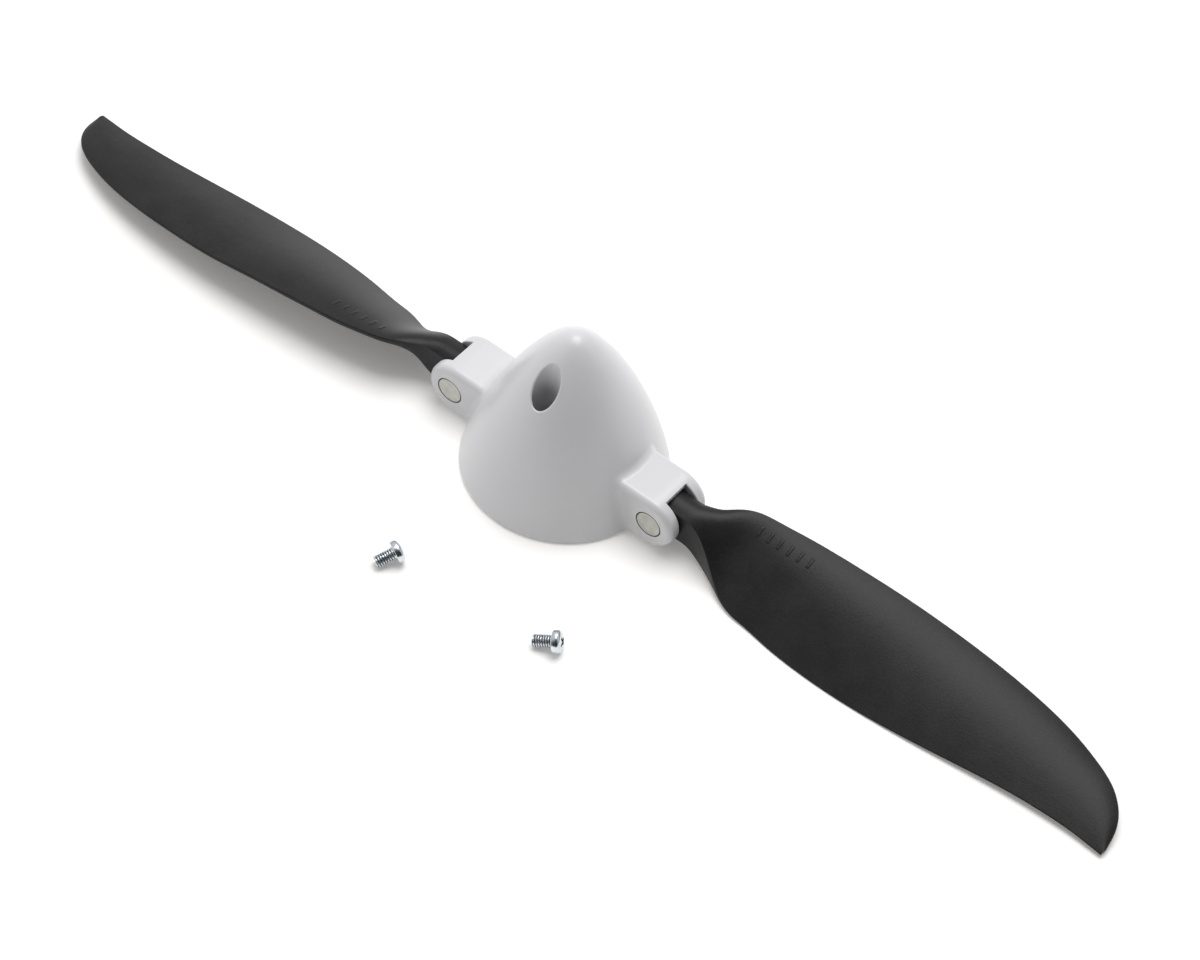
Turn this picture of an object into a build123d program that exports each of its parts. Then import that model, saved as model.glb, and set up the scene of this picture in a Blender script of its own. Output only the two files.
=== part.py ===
from build123d import *
import os
from math import atan, cos, degrees, dist, hypot, pi, radians, sin, sqrt

# Folding propeller for a radio-controlled motor glider, with its two loose fixing screws.
# Millimetres. The origin is the centre of the spinner's base, on the surface it stands on.
# +Z is the spin axis with the nose up, and the two blades reach out along +X and -X.

# Spinner shell
SPINNER_RADIUS = 19.3
SPINNER_HEIGHT = 34.8
NOSE_ROUNDNESS = 6.9        # twice the radius of curvature at the very tip of the nose
NOSE_GROWTH = 0.27          # how fast the shoulder fills out below the tip
WALL = 1.9
RIM_ROUNDING = 0.9

# Forks that hold the blades
FORK_WIDTH = 10.8
FORK_TOP = 11.7
FORK_BOTTOM = 0.7
FORK_ROUNDING = 1.2
FORK_END_CENTRE = 22.45
FORK_INNER_END = 12.5
SLOT_WIDTH = 5.6
EAR_ROUNDING = 0.3
STOP_EDGE = 24.4            # outer edge of the web that stops the blade from swinging forward
STOP_UNDERSIDE = 10.5
JOIN_ROUNDING = 1.8

# Hinge
PIN_X = 22.9
PIN_Z = 6.2
PIN_RADIUS = 2.75
PIN_SHORTFALL = 0.05        # how far each end face lies under the fork's side
PIN_NECK_RADIUS = 2.58      # the last bit of each end, which leaves a fine gap round its face
PIN_NECK_LENGTH = 0.5
BORE_CLEARANCE = 0.06

# Screw fixing
SCREW_SPACING = 15.0
COUNTERBORE_RADIUS = 2.4
MOUTH_ROUNDING = 0.25
SCREW_HOLE_RADIUS = 1.4
SEAT_THICKNESS = 1.6        # plastic between a screw's head and the motor's adapter
TOWER_RADIUS = 4.2
SHAFT_TUBE_RADIUS = 5.5
SHAFT_BORE_RADIUS = 3.0
SHAFT_BORE_TOP = 15.0
RIB_THICKNESS = 1.4
RIBS_ACROSS = 4             # each runs right across, from wall to wall
RIB_RECESS = 1.0            # the ribs stay this far above the back face

# Blades
EYE_RADIUS = 3.3            # round end of the blade's root, about the hinge pin, at its sides
EYE_CROWN = 0.83            # how much further it reaches in the middle
ROOT_WIDTH = 5.0
ROOT_START = 28.2           # the loft starts here, flush with the root block
ROOT_END = 28.6             # and turns into the blade from here
TRAILING_THICKNESS = 0.4
EDGE_BULGE = 0.4            # roundness of the edges
CAMBER = 0.045              # of the chord

# Root of the blade at +X, where the block widens and twists into the blade. Each row is the
# distance along X, then the trailing side and the leading side (across Y, bottom, top), then
# how far the upper face stands above a straight line and the lower face hangs below one.
ROOT_STATIONS = (
    (30.4, (-2.60, 2.50, 9.10), (2.75, 3.9, 9.80), 0.8, 0.7),
    (32.3, (-2.95, 1.70, 7.90), (3.45, 6.4, 10.05), 0.9, 0.9),
    (34.6, (-3.75, 1.15, 5.70), (5.10, 8.8, 10.50), 1.2, 1.0),
    (37.2, (-5.00, 0.85, 3.20), (6.65, 9.4, 10.60), 1.4, 0.7),
    (40.2, (-6.50, 0.60, 1.50), (7.50, 9.3, 10.40), 1.4, 0.4),
    (42.8, (-7.50, 0.45, 0.85), (7.95, 9.05, 10.15), 1.5, 0.3),
)

# The blade proper: the middle of its trailing edge, the middle of its leading edge, the
# leading edge's thickness and the greatest thickness. Near the tip the stations fan out to
# follow the round end.
BLADE_STATIONS = (
    ((47.0, -8.05, 0.40), (47.0, 8.65, 9.30), 1.05, 2.4),
    ((52.0, -8.75, 0.25), (52.0, 9.20, 9.10), 1.00, 2.3),
    ((59.0, -9.35, 0.22), (59.0, 9.80, 8.70), 0.95, 2.1),
    ((67.0, -9.45, 0.22), (67.0, 10.35, 8.15), 0.90, 1.9),
    ((76.0, -8.95, 0.36), (76.0, 10.85, 7.15), 0.80, 1.7),
    ((86.0, -7.90, 0.70), (86.0, 10.75, 6.30), 0.70, 1.5),
    ((96.0, -6.65, 1.05), (96.0, 10.05, 5.40), 0.65, 1.4),
    ((104.0, -5.85, 1.22), (104.0, 8.80, 4.60), 0.60, 1.25),
    ((110.0, -5.55, 1.20), (110.0, 7.10, 3.95), 0.55, 1.15),
    ((113.2, -5.50, 1.13), (114.6, 5.10, 3.45), 0.55, 1.05),
    ((115.9, -5.60, 1.05), (117.5, 2.85, 2.85), 0.50, 0.95),
    ((118.0, -5.75, 0.97), (119.4, 0.20, 2.15), 0.45, 0.85),
    ((119.5, -5.85, 0.90), (120.3, -2.80, 1.45), 0.40, 0.7),
    ((120.4, -5.95, 0.85), (120.6, -4.90, 1.05), 0.40, 0.6),
)

# Screws, M2.5 with a pan head and a cross recess
THREAD_RADIUS = 1.22
THREAD_LENGTH = 3.7
THREAD_BEVEL = 0.25
HEAD_RADIUS = 2.1
HEAD_HEIGHT = 1.7
HEAD_DOME = 0.8
RECESS_WIDTH = 0.6
RECESS_SPAN = 2.2
RECESS_DEPTH = 1.2
SCREW_LIFT = 0.02
# Where each loose screw lies: the centre under its head, and the way its tip points in plan
SCREW_PLACES = {"screw_a": ((24.7, -33.55), -153), "screw_b": ((-8.3, -37.4), -115)}

BEYOND = 20                 # a cut runs at least this far past what it cuts
SLACK = 0.05                # within this, a point counts as lying on a surface

# Small notch in the spinner's rim, which shows how it was turned when it was balanced
NOTCH_WIDTH = 0.9
NOTCH_HEIGHT = 0.5
NOTCH_ANGLE = -85


def save(shape, name):
    shape.label = name
    export_step(shape, f"parts/{name}.step")


def opposite(shape):
    """The same piece on the propeller's other side, half a turn about the spin axis."""
    return shape.rotate(Axis.Z, 180)


def shell_radius(height, radius, total):
    """The ogive: its squared radius is a cubic in the distance below the tip."""
    drop = total - height
    last = (radius**2 / total - NOSE_ROUNDNESS - NOSE_GROWTH * total) / total**2
    return sqrt(drop * (NOSE_ROUNDNESS + NOSE_GROWTH * drop + last * drop**2))


def ogive(radius, total, rounding=0):
    """Solid of revolution under the ogive curve, with its bottom edge rounded."""
    steps = 10
    curve = []
    for k in range(steps + 1):
        height = total * (1 - (k / steps) ** 2)
        curve.append((shell_radius(height, radius, total), 0, height))
    side = Spline(*curve)
    base = Line(side @ 1, (0, 0, 0))
    axis = Line((0, 0, 0), side @ 0)
    profile = make_face([side, base, axis])
    if rounding:
        profile = fillet(profile.vertices().sort_by(Axis.X)[-1], rounding)
    return revolve(profile, Axis.Z)


def fork_bar():
    """One fork before its slot is cut: a bar with a round outer end about the hinge."""
    middle = (FORK_TOP + FORK_BOTTOM) / 2
    reach = (FORK_TOP - FORK_BOTTOM) / 2
    start = FORK_INNER_END
    centre = FORK_END_CENTRE
    top = Line((start, 0, FORK_TOP), (centre, 0, FORK_TOP))
    end = ThreePointArc(top @ 1, (centre + reach, 0, middle), (centre, 0, FORK_BOTTOM))
    bottom = Line(end @ 1, (start, 0, FORK_BOTTOM))
    back = Line(bottom @ 1, top @ 0)
    bar = extrude(make_face([top, end, bottom, back]), FORK_WIDTH / 2, dir=(0, 1, 0), both=True)
    long_edges = []
    for edge in bar.edges():
        place = edge.center()
        if abs(abs(place.Y) - FORK_WIDTH / 2) < SLACK and place.X > start + SLACK:
            long_edges.append(edge)
    return fillet(long_edges, FORK_ROUNDING)


def on_shell(place):
    """Whether a point lies on the ogive's outside."""
    radius = shell_radius(place.Z, SPINNER_RADIUS, SPINNER_HEIGHT)
    return abs(hypot(place.X, place.Y) - radius) < SLACK


def fork_joins(body):
    """The edges where the two forks meet the ogive."""
    joins = []
    for edge in body.edges():
        place = edge @ 0.5
        on_fork = abs(place.Y) < FORK_WIDTH / 2 + SLACK and place.Z < FORK_TOP + SLACK
        if on_fork and place.Z > FORK_BOTTOM + SLACK and on_shell(place):
            joins.append(edge)
    return joins


def fork_slot():
    """The slot that the blade's root turns in, open outwards and downwards."""
    reach = STOP_UNDERSIDE - PIN_Z
    outside = PIN_X + BEYOND
    roof = Line((outside, 0, STOP_UNDERSIDE), (PIN_X, 0, STOP_UNDERSIDE))
    corner = ThreePointArc(
        roof @ 1,
        (PIN_X - reach * sin(pi / 4), 0, PIN_Z + reach * cos(pi / 4)),
        (PIN_X - reach, 0, PIN_Z),
    )
    wall = Line(corner @ 1, (PIN_X - reach, 0, -BEYOND))
    floor = Line(wall @ 1, (outside, 0, -BEYOND))
    mouth = Line(floor @ 1, roof @ 0)
    outline = make_face([roof, corner, wall, floor, mouth])
    slot = extrude(outline, SLOT_WIDTH / 2, dir=(0, 1, 0), both=True)
    above = Box(BEYOND, SLOT_WIDTH, BEYOND, align=(Align.MIN, Align.CENTER, Align.MIN))
    return slot + above.locate(Location((STOP_EDGE, 0, PIN_Z)))


def ear_edges(body):
    """The edges along the slots that go round the outer ends of the forks' ears."""
    edges = []
    for edge in body.edges().filter_by(GeomType.CIRCLE):
        place = edge @ 0.5
        on_slot = abs(abs(place.Y) - SLOT_WIDTH / 2) < SLACK
        if on_slot and abs(place.X) > FORK_END_CENTRE:
            edges.append(edge)
    return edges


def mouth_edges(body):
    """The edges where the two counterbores come out through the ogive."""
    edges = []
    for edge in body.edges():
        place = edge @ 0.5
        off_axis = hypot(place.X, abs(place.Y) - SCREW_SPACING / 2)
        if abs(off_axis - COUNTERBORE_RADIUS) < SLACK and on_shell(place):
            edges.append(edge)
    return edges


def pin_hole(radius):
    """A round bar along the hinge, longer than the fork is wide."""
    return Cylinder(radius, FORK_WIDTH + BEYOND).locate(Location((PIN_X, 0, PIN_Z), (90, 0, 0)))


def spinner():
    """The one-piece moulding: ogive shell, two forks, two screw towers and a shaft tube."""
    outside = ogive(SPINNER_RADIUS, SPINNER_HEIGHT, RIM_ROUNDING)
    bar = fork_bar()
    body = outside + bar + opposite(bar)
    body = fillet(fork_joins(body), JOIN_ROUNDING)

    hollow = ogive(SPINNER_RADIUS - WALL, SPINNER_HEIGHT - 2 * WALL)
    slot_end = PIN_X - (STOP_UNDERSIDE - PIN_Z)
    bar_keep = Box(BEYOND, FORK_WIDTH, FORK_TOP, align=(Align.MIN, Align.CENTER, Align.MIN))
    bar_keep = bar_keep.locate(Location((slot_end - WALL, 0, 0)))
    hollow = hollow - bar_keep - opposite(bar_keep)
    body = body - hollow

    upward = (Align.CENTER, Align.CENTER, Align.MIN)
    inside = Cylinder(SHAFT_TUBE_RADIUS, SPINNER_HEIGHT, align=upward)
    for side in (1, -1):
        tower = Cylinder(TOWER_RADIUS, SPINNER_HEIGHT, align=upward)
        inside += tower.locate(Location((0, side * SCREW_SPACING / 2, 0)))
    for rib in range(RIBS_ACROSS):
        wall = Box(2 * SPINNER_RADIUS, RIB_THICKNESS, SPINNER_HEIGHT, align=upward)
        inside += wall.locate(Location((0, 0, RIB_RECESS), (0, 0, 180 * rib / RIBS_ACROSS)))
    body = body + (inside & outside)

    for side in (1, -1):
        place = (0, side * SCREW_SPACING / 2)
        counterbore = Cylinder(COUNTERBORE_RADIUS, SPINNER_HEIGHT, align=upward)
        body -= counterbore.locate(Location((*place, SEAT_THICKNESS)))
        body -= Cylinder(SCREW_HOLE_RADIUS, SPINNER_HEIGHT).locate(Location((*place, 0)))
    body = fillet(mouth_edges(body), MOUTH_ROUNDING)
    body -= Cylinder(SHAFT_BORE_RADIUS, 2 * SHAFT_BORE_TOP)
    notch = Box(3 * WALL, NOTCH_WIDTH, 2 * NOTCH_HEIGHT).locate(Location((SPINNER_RADIUS, 0, 0)))
    body -= notch.rotate(Axis.Z, NOTCH_ANGLE)
    for turn in (0, 180):
        body -= fork_slot().rotate(Axis.Z, turn)
    body = fillet(ear_edges(body), EAR_ROUNDING)
    for turn in (0, 180):
        body -= pin_hole(PIN_RADIUS).rotate(Axis.Z, turn)
    return body


def hinge_pin():
    """A plain pin with both ends turned down a little."""
    length = FORK_WIDTH - 2 * PIN_SHORTFALL
    pin = Cylinder(PIN_RADIUS, length - 2 * PIN_NECK_LENGTH) + Cylinder(PIN_NECK_RADIUS, length)
    return pin.locate(Location((PIN_X, 0, PIN_Z), (90, 0, 0)))


def rounded_edge(behind, edge):
    """An arc over one edge of a section: a thin edge is round, and the root's sides nearly flat."""
    x, y, bottom, top = edge
    across = hypot(x - behind[0], y - behind[1])
    bulge = EDGE_BULGE * (top - bottom) / (1 + (top - bottom) ** 2)
    outermost = (
        x + bulge * (x - behind[0]) / across,
        y + bulge * (y - behind[1]) / across,
        (bottom + top) / 2,
    )
    return ThreePointArc((x, y, top), outermost, (x, y, bottom))


def blade_section(trailing, leading, crown, belly):
    """A closed outline across the blade, in the upright plane through its two edges.

    trailing and leading are (x, y, bottom, top). The upper face stands crown above a straight
    line between the tops, and the lower face stands belly above one between the bottoms.
    """
    def face_points(level, bulge):
        points = []
        for share in (0, 0.2, 0.45, 0.7, 0.9, 1):
            swell = bulge * 4 * share * (1 - share) * (0.75 + 0.5 * share)
            points.append((
                trailing[0] + share * (leading[0] - trailing[0]),
                trailing[1] + share * (leading[1] - trailing[1]),
                trailing[level] + share * (leading[level] - trailing[level]) + swell,
            ))
        return points

    upper = Spline(*face_points(3, crown))
    front = rounded_edge(trailing, leading)
    lower = Spline(*reversed(face_points(2, belly)))
    back = rounded_edge(leading, trailing)
    return make_face([upper, front, lower, back])


def edge_ends(middle, thickness):
    """An edge's place in plan, with the bottom and the top of its thickness."""
    x, y, z = middle
    return x, y, z - thickness / 2, z + thickness / 2


def root_section(along):
    """Across the root block: upright sides between a crowned top and a crowned underside."""
    half = ROOT_WIDTH / 2
    low = PIN_Z - EYE_RADIUS
    high = PIN_Z + EYE_RADIUS
    return blade_section((along, -half, low, high), (along, half, low, high), EYE_CROWN, -EYE_CROWN)


def root_block():
    """The eye, turned about the hinge, and the straight block that runs out from it."""
    section = root_section(PIN_X)
    block = extrude(section, ROOT_START - PIN_X, dir=(1, 0, 0))
    crown = section.edges().sort_by(Axis.Z)[-1]
    down = Line(crown @ 1, (PIN_X, (crown @ 1).Y, PIN_Z))
    across = Line(down @ 1, (PIN_X, (crown @ 0).Y, PIN_Z))
    up = Line(across @ 1, crown @ 0)
    eye = revolve(make_face([crown, down, across, up]), Axis((PIN_X, 0, PIN_Z), (0, 1, 0)))
    return block + eye


def blade():
    """The blade on the +X side: root block with its eye, and the lofted blade."""
    sections = [root_section(ROOT_START), root_section(ROOT_END)]
    for along, trailing, leading, crown, belly in ROOT_STATIONS:
        sections.append(blade_section((along, *trailing), (along, *leading), crown, -belly))
    for trailing, leading, nose, thickness in BLADE_STATIONS:
        camber = CAMBER * dist(trailing, leading)
        swell = (thickness - (TRAILING_THICKNESS + nose) / 2) / 2
        back = edge_ends(trailing, TRAILING_THICKNESS)
        front = edge_ends(leading, nose)
        sections.append(blade_section(back, front, camber + swell, camber - swell))
    body = loft(sections) + root_block()
    return body - pin_hole(PIN_RADIUS + BORE_CLEARANCE)


def screw(place, heading):
    """A pan-head screw that lies on its head's rim and its tip."""
    bevel = THREAD_BEVEL
    shank = Cylinder(THREAD_RADIUS, THREAD_LENGTH, align=(Align.CENTER, Align.CENTER, Align.MAX))
    shank = chamfer(shank.edges().sort_by(Axis.Z)[0], bevel)
    top = Line((0, 0, HEAD_HEIGHT), (HEAD_RADIUS - HEAD_DOME * 1.6, 0, HEAD_HEIGHT))
    dome = ThreePointArc(
        top @ 1,
        (HEAD_RADIUS - HEAD_DOME * 0.42, 0, HEAD_HEIGHT - HEAD_DOME * 0.33),
        (HEAD_RADIUS, 0, HEAD_HEIGHT - HEAD_DOME),
    )
    side = Line(dome @ 1, (HEAD_RADIUS, 0, 0))
    under = Line(side @ 1, (0, 0, 0))
    axis = Line(under @ 1, top @ 0)
    body = revolve(make_face([top, dome, side, under, axis]), Axis.Z) + shank
    for turn in (0, 90):
        wing = Box(RECESS_SPAN, RECESS_WIDTH, 2 * RECESS_DEPTH)
        body -= wing.locate(Location((0, 0, HEAD_HEIGHT), (0, 0, turn)))
    tilt = degrees(atan((HEAD_RADIUS - THREAD_RADIUS) / (THREAD_LENGTH - bevel)))
    height = HEAD_RADIUS * cos(radians(tilt)) + SCREW_LIFT
    body = body.rotate(Axis.Y, 90 - tilt).rotate(Axis.Z, heading + 180)
    return body.locate(Location((*place, height)) * body.location)


def main():
    os.makedirs("parts", exist_ok=True)
    save(spinner(), "spinner")
    for name, turn in (("a", 0), ("b", 180)):
        save(blade().rotate(Axis.Z, turn), f"blade_{name}")
        save(hinge_pin().rotate(Axis.Z, turn), f"hinge_pin_{name}")
    for name, (place, heading) in SCREW_PLACES.items():
        save(screw(place, heading), name)


if __name__ == "__main__":
    main()
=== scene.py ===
import bmesh
import bpy
from math import atan2, cos, hypot, pi, radians, sin
from mathutils import Matrix, Vector
from mathutils.bvhtree import BVHTree


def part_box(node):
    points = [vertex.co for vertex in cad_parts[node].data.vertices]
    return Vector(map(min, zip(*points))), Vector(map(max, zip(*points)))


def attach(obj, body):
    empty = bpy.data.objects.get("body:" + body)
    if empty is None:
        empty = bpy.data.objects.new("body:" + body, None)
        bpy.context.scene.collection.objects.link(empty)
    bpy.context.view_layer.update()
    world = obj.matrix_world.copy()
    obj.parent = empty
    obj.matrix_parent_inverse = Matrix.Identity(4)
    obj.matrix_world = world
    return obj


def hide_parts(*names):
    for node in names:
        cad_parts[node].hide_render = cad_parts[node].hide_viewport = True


# Looks of a folding propeller for a motor glider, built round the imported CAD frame. Metres.

MM = 0.001

# Camera, at the angle of the reference view
CAMERA_AZIMUTH = radians(33.81)
CAMERA_ELEVATION = radians(51.51)
CAMERA_ROLL = radians(6.28)
CAMERA_DISTANCE = 0.5839
CAMERA_TARGET = Vector((0.01131, -0.00472, 0.0084))
CAMERA_LENS = 99.09

# Studio: a white tent with a dark gap in it, one soft light overhead, and a floor
TENT_STRENGTH = 0.7
GAP_OFFSET = radians(14)
GAP_ELEVATION = radians(16)
LIGHT_PLACE = Vector((-0.08, 0.21, 0.89))
LIGHT_SIZE = 0.6
LIGHT_POWER = 5.6
FLOOR_REACH = 4.0

# End faces of the hinge pins
PIN_FACE_RADIUS = 2.55 * MM
# width of the dark ring painted at each face's edge: painted shade of the gap round the pin
GAP_SHADE_WIDTH = 0.1 * MM
TURNING_PITCH = 0.22 * MM

# Screws, with the CAD's own places and sizes
THREAD_RADIUS = 1.22 * MM
THREAD_LENGTH = 3.7 * MM
THREAD_BEVEL = 0.25 * MM
THREAD_PITCH = 0.45 * MM
THREAD_DEPTH = 0.24 * MM
GROOVE_SHARE = 0.74         # of the pitch, the rest being the flat crest
GROOVE_FLOOR = 0.14         # of the pitch, flat at the groove's bottom
THREAD_ROWS = 88
SCREW_SEGMENTS = 64
HEAD_RADIUS = 2.1 * MM
HEAD_HEIGHT = 1.7 * MM
HEAD_RIM_ROUNDING = 0.18 * MM
HEAD_SHOULDER = 0.8 * MM    # height of the head's straight side
HEAD_DOME_REACH = 1.35 * MM
RECESS_SPAN = 2.3 * MM
RECESS_WIDTH = 0.62 * MM
RECESS_DEPTH = 1.1 * MM
RECESS_OVERSHOOT = 0.4 * MM
SCREW_LIFT = 0.02 * MM
SCREW_SHARP_ANGLE = radians(38)
SCREW_PLACES = {
    "screw_a": (Vector((24.7, -33.55, 0)) * MM, radians(-153)),
    "screw_b": (Vector((-8.3, -37.4, 0)) * MM, radians(-115)),
}

# Raised marks on each blade's upper face, near the root: plain bars in a row
BAR_COUNT = 6
BAR_START = Vector((40.0, 4.4)) * MM
BAR_STEP = Vector((2.1, 0.12)) * MM
BAR_WIDTH = 0.75 * MM
BAR_LENGTH = 2.3 * MM
BAR_HEIGHT = 0.09 * MM
BAR_SINK = 0.03 * MM        # how far a bar's edge lies under the blade's face
BAR_ROOT = 0.25 * MM        # how deep a bar reaches into the blade
BAR_SHARP_ANGLE = radians(60)


def new_material(name):
    """An empty node material; returns it with its node tree and its principled shader."""
    material = bpy.data.materials.new(name)
    material.use_nodes = True
    tree = material.node_tree
    return material, tree, tree.nodes["Principled BSDF"]


def node(tree, kind, inputs=None, **settings):
    """Adds a node, sets its properties, and links or sets its inputs."""
    made = tree.nodes.new(kind)
    for key, value in settings.items():
        setattr(made, key, value)
    for key, value in (inputs or {}).items():
        if isinstance(value, bpy.types.NodeSocket):
            tree.links.new(value, made.inputs[key])
        else:
            made.inputs[key].default_value = value
    return made


def noise(tree, scale, detail=2.0, roughness=0.5):
    """A noise value in the object's own coordinates. scale is in features per metre."""
    place = node(tree, "ShaderNodeTexCoord").outputs["Object"]
    inputs = {"Vector": place, "Scale": scale, "Detail": detail, "Roughness": roughness}
    return node(tree, "ShaderNodeTexNoise", inputs).outputs["Fac"]


def ramp(tree, value, stops):
    """A colour ramp: stops are (position, (r, g, b))."""
    made = node(tree, "ShaderNodeValToRGB", {"Fac": value})
    elements = made.color_ramp.elements
    while len(elements) < len(stops):
        elements.new(0.5)
    for element, (position, colour) in zip(elements, stops):
        element.position = position
        element.color = (*colour, 1)
    return made.outputs["Color"]


def span(tree, value, low, high, from_low=0.0, from_high=1.0):
    """A value mapped from one range onto another."""
    inputs = {"Value": value, "From Min": from_low, "From Max": from_high, "To Min": low, "To Max": high}
    return node(tree, "ShaderNodeMapRange", inputs).outputs["Result"]


def bump(tree, height, distance, strength):
    """A shading normal from a height. distance is in metres."""
    inputs = {"Height": height, "Distance": distance, "Strength": strength}
    return node(tree, "ShaderNodeBump", inputs).outputs["Normal"]


def white_plastic():
    """Smooth white plastic with a faint mottle in its colour and its gloss."""
    material, tree, shader = new_material("white_moulded_plastic")
    mottle = noise(tree, 60, 2)
    colour = ramp(tree, mottle, [(0.0, (0.650, 0.651, 0.666)), (1.0, (0.705, 0.706, 0.715))])
    tree.links.new(colour, shader.inputs["Base Color"])
    tree.links.new(span(tree, mottle, 0.26, 0.32), shader.inputs["Roughness"])
    shader.inputs["IOR"].default_value = 1.55
    return material


def black_plastic():
    """Matt black plastic with the fine grain that its glass fibres leave."""
    material, tree, shader = new_material("black_glass_filled_nylon")
    mottle = noise(tree, 160, 4, 0.6)
    grain = noise(tree, 2600, 3, 0.6)
    mixed = node(tree, "ShaderNodeMath", {0: mottle, 1: grain}, operation="ADD").outputs[0]
    colour = ramp(tree, span(tree, mixed, 0, 1, 0.7, 1.3), [
        (0.1, (0.0135, 0.0135, 0.0139)),
        (0.9, (0.0228, 0.0228, 0.0232)),
    ])
    tree.links.new(colour, shader.inputs["Base Color"])
    tree.links.new(span(tree, mottle, 0.37, 0.40, 0.3, 0.7), shader.inputs["Roughness"])
    tree.links.new(bump(tree, grain, 0.00004, 0.6), shader.inputs["Normal"])
    shader.inputs["IOR"].default_value = 1.29
    return material


def turned_steel():
    """Dull steel end faces, with a dark line painted round each face's edge: painted shade of the gap
    round each pin.
    """
    material, tree, shader = new_material("turned_steel")
    low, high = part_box("hinge_pin_a")
    middle = ((low[0] + high[0]) / 2, 0, (low[2] + high[2]) / 2)
    place = node(tree, "ShaderNodeTexCoord").outputs["Object"]
    mirrored = node(tree, "ShaderNodeVectorMath", {0: place}, operation="ABSOLUTE").outputs[0]
    flat = node(tree, "ShaderNodeVectorMath", {0: mirrored, 1: (1, 0, 1)}, operation="MULTIPLY").outputs[0]
    inputs = {0: flat, 1: middle}
    radius = node(tree, "ShaderNodeVectorMath", inputs, operation="DISTANCE").outputs["Value"]
    mottle = noise(tree, 700, 4, 0.65)
    face = ramp(tree, mottle, [(0.3, (0.43, 0.435, 0.395)), (0.7, (0.63, 0.63, 0.585))])
    # A thin near-black ring at the face's edge: painted shade of the gap between the pin and its hole.
    edge = span(tree, radius, 0, 1, PIN_FACE_RADIUS - GAP_SHADE_WIDTH, PIN_FACE_RADIUS)
    mixed = node(tree, "ShaderNodeMix", data_type="RGBA")
    tree.links.new(edge, mixed.inputs[0])
    tree.links.new(face, mixed.inputs[6])
    mixed.inputs[7].default_value = (0.035, 0.035, 0.035, 1)
    tree.links.new(mixed.outputs[2], shader.inputs["Base Color"])
    tree.links.new(span(tree, mottle, 0.45, 0.65, 0.3, 0.7), shader.inputs["Roughness"])
    inputs = {0: radius, 1: 2 * pi / TURNING_PITCH}
    rings = node(tree, "ShaderNodeMath", inputs, operation="MULTIPLY").outputs[0]
    ridges = node(tree, "ShaderNodeMath", {0: rings}, operation="SINE").outputs[0]
    height = node(tree, "ShaderNodeMath", {0: ridges, 1: mottle}, operation="ADD").outputs[0]
    tree.links.new(bump(tree, height, 0.000008, 0.5), shader.inputs["Normal"])
    shader.inputs["Metallic"].default_value = 1.0
    return material


def zinc_plate(name, dark, light, rough):
    """Zinc-plated steel between two colours, with a fine crystal grain."""
    material, tree, shader = new_material(name)
    mottle = noise(tree, 500, 3)
    colour = ramp(tree, mottle, [(0.3, dark), (0.7, light)])
    tree.links.new(colour, shader.inputs["Base Color"])
    tree.links.new(span(tree, mottle, rough, rough + 0.1, 0.3, 0.7), shader.inputs["Roughness"])
    tree.links.new(bump(tree, noise(tree, 5000, 3), 0.00001, 0.5), shader.inputs["Normal"])
    shader.inputs["Metallic"].default_value = 1.0
    return material


def floor_material():
    """Pale card that glows faintly, so that its shadows stay light."""
    material, tree, shader = new_material("pale_floor")
    colour = ramp(tree, noise(tree, 300, 3), [(0.3, (0.93, 0.925, 0.915)), (0.7, (0.95, 0.945, 0.935))])
    tree.links.new(colour, shader.inputs["Base Color"])
    shader.inputs["Roughness"].default_value = 0.9
    shader.inputs["Specular IOR Level"].default_value = 0.1
    shader.inputs["Emission Color"].default_value = (1.0, 0.965, 0.91, 1)
    shader.inputs["Emission Strength"].default_value = 0.16
    return material


def make_floor():
    corners = [(FLOOR_REACH * x, FLOOR_REACH * y, 0) for x, y in ((-1, -1), (1, -1), (1, 1), (-1, 1))]
    mesh = bpy.data.meshes.new("floor")
    mesh.from_pydata(corners, [], [(0, 1, 2, 3)])
    floor = bpy.data.objects.new("floor", mesh)
    bpy.context.scene.collection.objects.link(floor)
    mesh.materials.append(floor_material())


def make_world():
    """A white tent all round, with a dark gap low down where the photographer stands."""
    world = bpy.data.worlds.new("studio")
    world.use_nodes = True
    bpy.context.scene.world = world
    tree = world.node_tree
    background = tree.nodes["Background"]
    direction = node(tree, "ShaderNodeTexCoord").outputs["Generated"]
    bearing = CAMERA_AZIMUTH + GAP_OFFSET
    gap = (sin(bearing) * cos(GAP_ELEVATION), -cos(bearing) * cos(GAP_ELEVATION), sin(GAP_ELEVATION))
    inputs = {0: direction, 1: gap}
    facing = node(tree, "ShaderNodeVectorMath", inputs, operation="DOT_PRODUCT").outputs["Value"]
    tone = ramp(tree, span(tree, facing, 0, 1, -1, 1), [
        (0.0, (1.0, 1.0, 1.02)),
        (0.64, (1.0, 1.0, 1.02)),
        (0.80, (0.26, 0.26, 0.275)),
        (0.88, (0.05, 0.05, 0.055)),
    ])
    tree.links.new(tone, background.inputs["Color"])
    background.inputs["Strength"].default_value = TENT_STRENGTH


def make_light():
    """One soft box overhead, aimed at the spinner's foot."""
    data = bpy.data.lights.new("overhead", "AREA")
    data.shape = "SQUARE"
    data.size = LIGHT_SIZE
    data.energy = LIGHT_POWER
    light = bpy.data.objects.new("overhead", data)
    light.location = LIGHT_PLACE
    light.rotation_euler = (-LIGHT_PLACE).to_track_quat("-Z", "Y").to_euler()
    bpy.context.scene.collection.objects.link(light)


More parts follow.
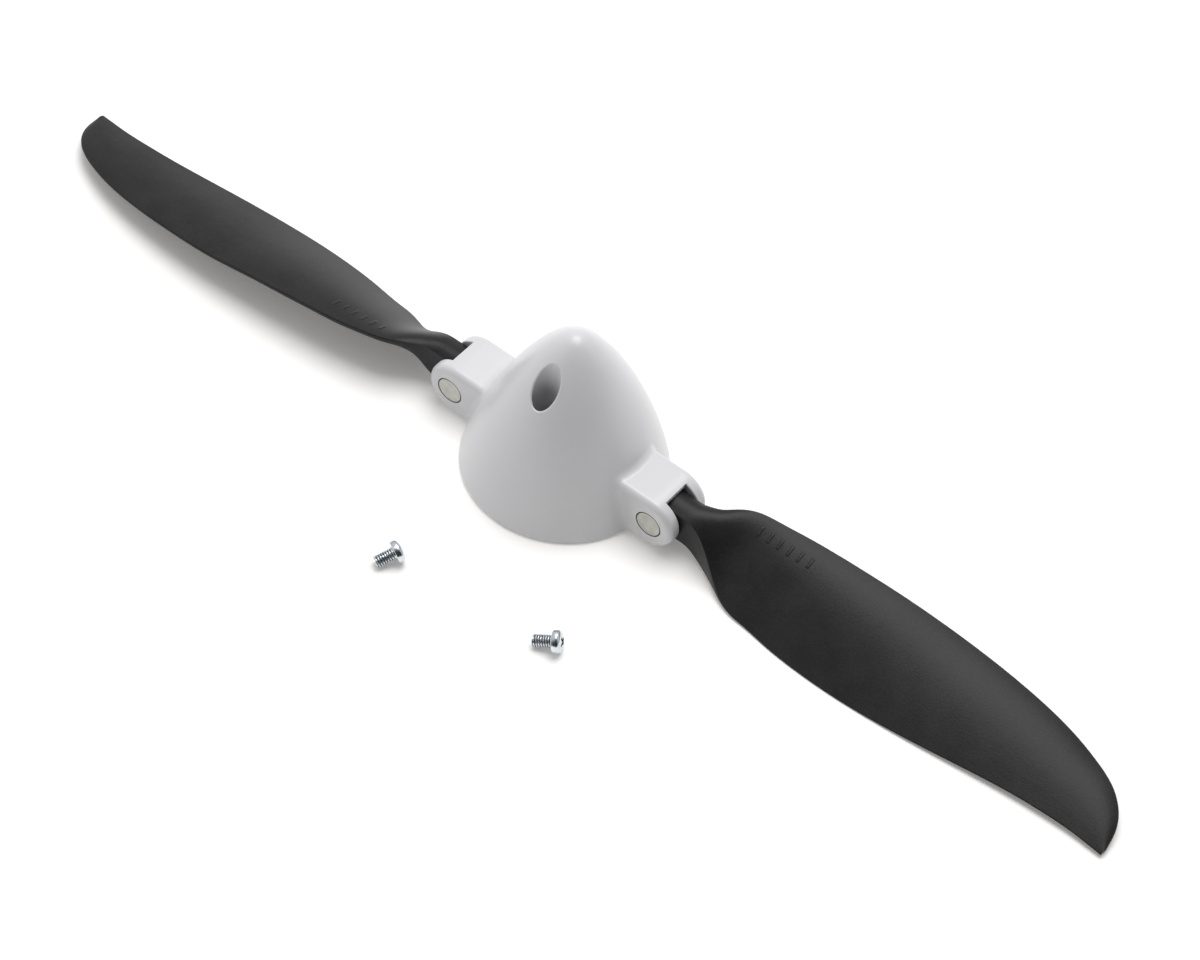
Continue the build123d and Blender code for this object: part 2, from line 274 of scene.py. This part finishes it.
def make_camera():
    a, e, r = CAMERA_AZIMUTH, CAMERA_ELEVATION, CAMERA_ROLL
    back = Vector((sin(a) * cos(e), -cos(a) * cos(e), sin(e)))
    level = Vector((cos(a), sin(a), 0))
    upright = back.cross(level)
    right = level * cos(r) + upright * sin(r)
    up = upright * cos(r) - level * sin(r)
    data = bpy.data.cameras.new("camera")
    data.lens = CAMERA_LENS
    data.sensor_width = 36
    data.clip_start = 0.01
    data.clip_end = 20
    camera = bpy.data.objects.new("camera", data)
    place = Matrix((right, up, back)).transposed().to_4x4()
    place.translation = CAMERA_TARGET + back * CAMERA_DISTANCE
    camera.matrix_world = place
    bpy.context.scene.collection.objects.link(camera)
    bpy.context.scene.camera = camera


def dress(node_names, material):
    """Gives CAD nodes a material."""
    for name in node_names:
        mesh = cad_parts[name].data
        for index in range(len(mesh.materials)):
            mesh.materials[index] = material


def grid_faces(bm, rows):
    """Quads between neighbouring rows of vertices; every row is a closed ring."""
    for lower, upper in zip(rows, rows[1:]):
        count = len(lower)
        for k in range(count):
            after = (k + 1) % count
            bm.faces.new((lower[k], lower[after], upper[after], upper[k]))


def ring(bm, radius, height, count):
    """A ring of vertices about Z. radius may be a function of the angle."""
    made = []
    for k in range(count):
        angle = 2 * pi * k / count
        reach = radius(angle) if callable(radius) else radius
        made.append(bm.verts.new((reach * cos(angle), reach * sin(angle), height)))
    return made


def thread_radius(angle, depth_below, limit):
    """Radius of the thread's surface at an angle and a distance below the head, up to a limit."""
    phase = (depth_below / THREAD_PITCH + angle / (2 * pi)) % 1
    flank = abs(2 * phase - 1)
    groove = min(max((GROOVE_SHARE - flank) / (GROOVE_SHARE - GROOVE_FLOOR), 0), 1)
    runout = min(depth_below / THREAD_PITCH, 1)
    return min(THREAD_RADIUS - THREAD_DEPTH * groove * runout, limit)


def head_profile():
    """The pan head from under its rim round to its middle: (radius, height) points."""
    edge = HEAD_RIM_ROUNDING
    points = [(HEAD_RADIUS - edge, 0.0)]
    for k in range(1, 5):
        turn = pi / 2 * k / 4
        points.append((HEAD_RADIUS - edge + edge * sin(turn), edge - edge * cos(turn)))
    dome = HEAD_HEIGHT - 0.08 * MM - HEAD_SHOULDER
    for k in range(10):
        turn = pi / 2 * k / 9
        points.append((HEAD_RADIUS - HEAD_DOME_REACH * (1 - cos(turn)), HEAD_SHOULDER + dome * sin(turn)))
    points.append((0.5 * MM, HEAD_HEIGHT - 0.02 * MM))
    points.append((0.2 * MM, HEAD_HEIGHT))
    return points


def screw_body():
    """A screw about Z with its head above: rolled thread, neck and domed head, all one skin."""
    bm = bmesh.new()
    rows = []
    for k in range(THREAD_ROWS + 1):
        below = THREAD_LENGTH * (1 - k / THREAD_ROWS)
        limit = THREAD_RADIUS - max(0, below - (THREAD_LENGTH - THREAD_BEVEL))
        rows.append(ring(bm, lambda angle: thread_radius(angle, below, limit), -below, SCREW_SEGMENTS))
    for radius, height in head_profile():
        rows.append(ring(bm, radius, height, SCREW_SEGMENTS))
    grid_faces(bm, rows)
    bm.faces.new(reversed(rows[0]))
    bm.faces.new(rows[-1])
    bmesh.ops.recalc_face_normals(bm, faces=bm.faces)
    return finish_mesh("screw", bm)


def recess_cutter():
    """The driver's cross: two crossed wedges that narrow downwards."""
    bm = bmesh.new()
    for turn in (0, pi / 2):
        rows = []
        for height, shrink in ((RECESS_OVERSHOOT, 1.12), (-RECESS_DEPTH, 0.42)):
            corners = []
            for sx, sy in ((-1, -1), (1, -1), (1, 1), (-1, 1)):
                x = sx * RECESS_SPAN / 2 * shrink
                y = sy * RECESS_WIDTH / 2 * (0.6 + 0.4 * shrink)
                place = Matrix.Rotation(turn, 3, "Z") @ Vector((x, y, HEAD_HEIGHT + height))
                corners.append(bm.verts.new(place))
            rows.append(corners)
        grid_faces(bm, list(reversed(rows)))
        bm.faces.new(rows[0])
        bm.faces.new(reversed(rows[1]))
    bmesh.ops.recalc_face_normals(bm, faces=bm.faces)
    return finish_mesh("recess", bm)


def finish_mesh(name, bm):
    """A mesh from the builder, which is freed."""
    mesh = bpy.data.meshes.new(name)
    bm.to_mesh(mesh)
    bm.free()
    return mesh


def cut(mesh, cutter):
    """The mesh with another one taken out of it."""
    target = bpy.data.objects.new("target", mesh)
    tool = bpy.data.objects.new("tool", cutter)
    for made in (target, tool):
        bpy.context.scene.collection.objects.link(made)
    modifier = target.modifiers.new("cut", "BOOLEAN")
    modifier.operation = "DIFFERENCE"
    modifier.solver = "EXACT"
    modifier.use_self = True
    modifier.object = tool
    depsgraph = bpy.context.evaluated_depsgraph_get()
    result = bpy.data.meshes.new_from_object(target.evaluated_get(depsgraph))
    for made in (target, tool):
        bpy.data.objects.remove(made)
    return result


def shade(mesh, angle):
    """Smooth shading, with edges sharper than an angle kept sharp."""
    for face in mesh.polygons:
        face.use_smooth = True
    mesh.set_sharp_from_angle(angle=angle)


def paint_groove_shade(mesh):
    """Gives the bottoms of the thread and the recess the second material, a darker zinc that is painted
    shade. Head up, about Z.
    """
    for face in mesh.polygons:
        middle = face.center
        radius = hypot(middle.x, middle.y)
        in_thread = middle.z < -0.3 * THREAD_PITCH and radius < THREAD_RADIUS - 0.55 * THREAD_DEPTH
        in_recess = middle.z > 0.3 * HEAD_HEIGHT and face.normal.z < 0.35 and radius < 0.52 * RECESS_SPAN
        at_tip = middle.z < -THREAD_LENGTH + 0.5 * THREAD_BEVEL
        # Faces deep in the thread's grooves and on the recess walls get the darker zinc: painted shade.
        face.material_index = 1 if (in_thread and not at_tip) or in_recess else 0


def make_screws(bright, groove_shade_zinc):
    """Both loose screws, each lying on its head's rim and its tip."""
    tilt = atan2(HEAD_RADIUS - THREAD_RADIUS, THREAD_LENGTH - THREAD_BEVEL)
    for name, (place, heading) in SCREW_PLACES.items():
        mesh = cut(screw_body(), recess_cutter())
        paint_groove_shade(mesh)
        lay = Matrix.Rotation(heading + pi, 4, "Z") @ Matrix.Rotation(pi / 2 - tilt, 4, "Y")
        height = HEAD_RADIUS * cos(tilt) + SCREW_LIFT
        mesh.transform(Matrix.Translation(place + Vector((0, 0, height))) @ lay)
        shade(mesh, SCREW_SHARP_ANGLE)
        piece = add_piece(name + "_threaded", mesh, bright, groove_shade_zinc)
        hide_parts(name)
        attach(piece, name)


def add_piece(name, mesh, *materials):
    """An object of the mesh with its materials, its faces keeping the material they were given."""
    mesh.name = name
    indices = [face.material_index for face in mesh.polygons]
    mesh.materials.clear()
    for material in materials:
        mesh.materials.append(material)
    mesh.polygons.foreach_set("material_index", indices)
    piece = bpy.data.objects.new(name, mesh)
    bpy.context.scene.collection.objects.link(piece)
    return piece


def surface_height(tree, x, y):
    """Height of a blade's upper face over a point."""
    hit = tree.ray_cast(Vector((x, y, 0.05)), Vector((0, 0, -1)))[0]
    return hit.z


def raised_bar(bm, tree, middle, turn):
    """One bar with soft edges that follows the blade's face. turn is 0 or pi."""
    across, along = 8, 14
    top = []
    for i in range(across + 1):
        row = []
        for j in range(along + 1):
            u = 2 * i / across - 1
            v = 2 * j / along - 1
            x = middle.x + u * BAR_WIDTH / 2
            y = middle.y + v * BAR_LENGTH / 2
            place = Matrix.Rotation(turn, 3, "Z") @ Vector((x, y, 0))
            rise = (1 - u**4) * (1 - v**8)
            face = surface_height(tree, place.x, place.y)
            height = face - BAR_SINK + (BAR_HEIGHT + BAR_SINK) * rise
            row.append(bm.verts.new((place.x, place.y, height)))
        top.append(row)
    for near, far in zip(top, top[1:]):
        for j in range(along):
            bm.faces.new((near[j], far[j], far[j + 1], near[j + 1]))
    rim = [row[0] for row in top] + top[-1][1:] + [row[-1] for row in reversed(top[:-1])]
    rim += reversed(top[0][1:-1])
    foot = [bm.verts.new(vertex.co - Vector((0, 0, BAR_ROOT))) for vertex in rim]
    grid_faces(bm, [foot, rim])
    bm.faces.new(foot)


def make_size_marks(material):
    """A row of plain raised bars on each blade."""
    depsgraph = bpy.context.evaluated_depsgraph_get()
    for side, turn in (("a", 0), ("b", pi)):
        tree = BVHTree.FromObject(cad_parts["blade_" + side], depsgraph)
        bm = bmesh.new()
        for k in range(BAR_COUNT):
            raised_bar(bm, tree, BAR_START + k * BAR_STEP, turn)
        bmesh.ops.recalc_face_normals(bm, faces=bm.faces)
        mesh = finish_mesh("size_marks_" + side, bm)
        shade(mesh, BAR_SHARP_ANGLE)
        piece = add_piece("size_marks_" + side, mesh, material)
        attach(piece, "blade_" + side)


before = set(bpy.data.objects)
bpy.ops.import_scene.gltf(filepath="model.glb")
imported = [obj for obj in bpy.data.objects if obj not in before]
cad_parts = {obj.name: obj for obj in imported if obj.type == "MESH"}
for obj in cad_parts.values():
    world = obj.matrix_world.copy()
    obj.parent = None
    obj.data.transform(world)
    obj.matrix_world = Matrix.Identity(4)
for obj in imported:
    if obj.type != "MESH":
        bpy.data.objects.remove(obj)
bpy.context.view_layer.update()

bpy.context.scene.view_settings.view_transform = "Standard"
make_world()
make_light()
make_camera()
make_floor()
blade_finish = black_plastic()
dress(["spinner"], white_plastic())
dress(["blade_a", "blade_b"], blade_finish)
dress(["hinge_pin_a", "hinge_pin_b"], turned_steel())
make_screws(
    zinc_plate("zinc_plate", (0.60, 0.66, 0.70), (0.76, 0.80, 0.83), 0.14),
    # The second, darker zinc is painted shade for the thread's grooves and the head's recess.
    zinc_plate("zinc_painted_groove_shade", (0.15, 0.165, 0.17), (0.27, 0.29, 0.30), 0.3),
)
make_size_marks(blade_finish)
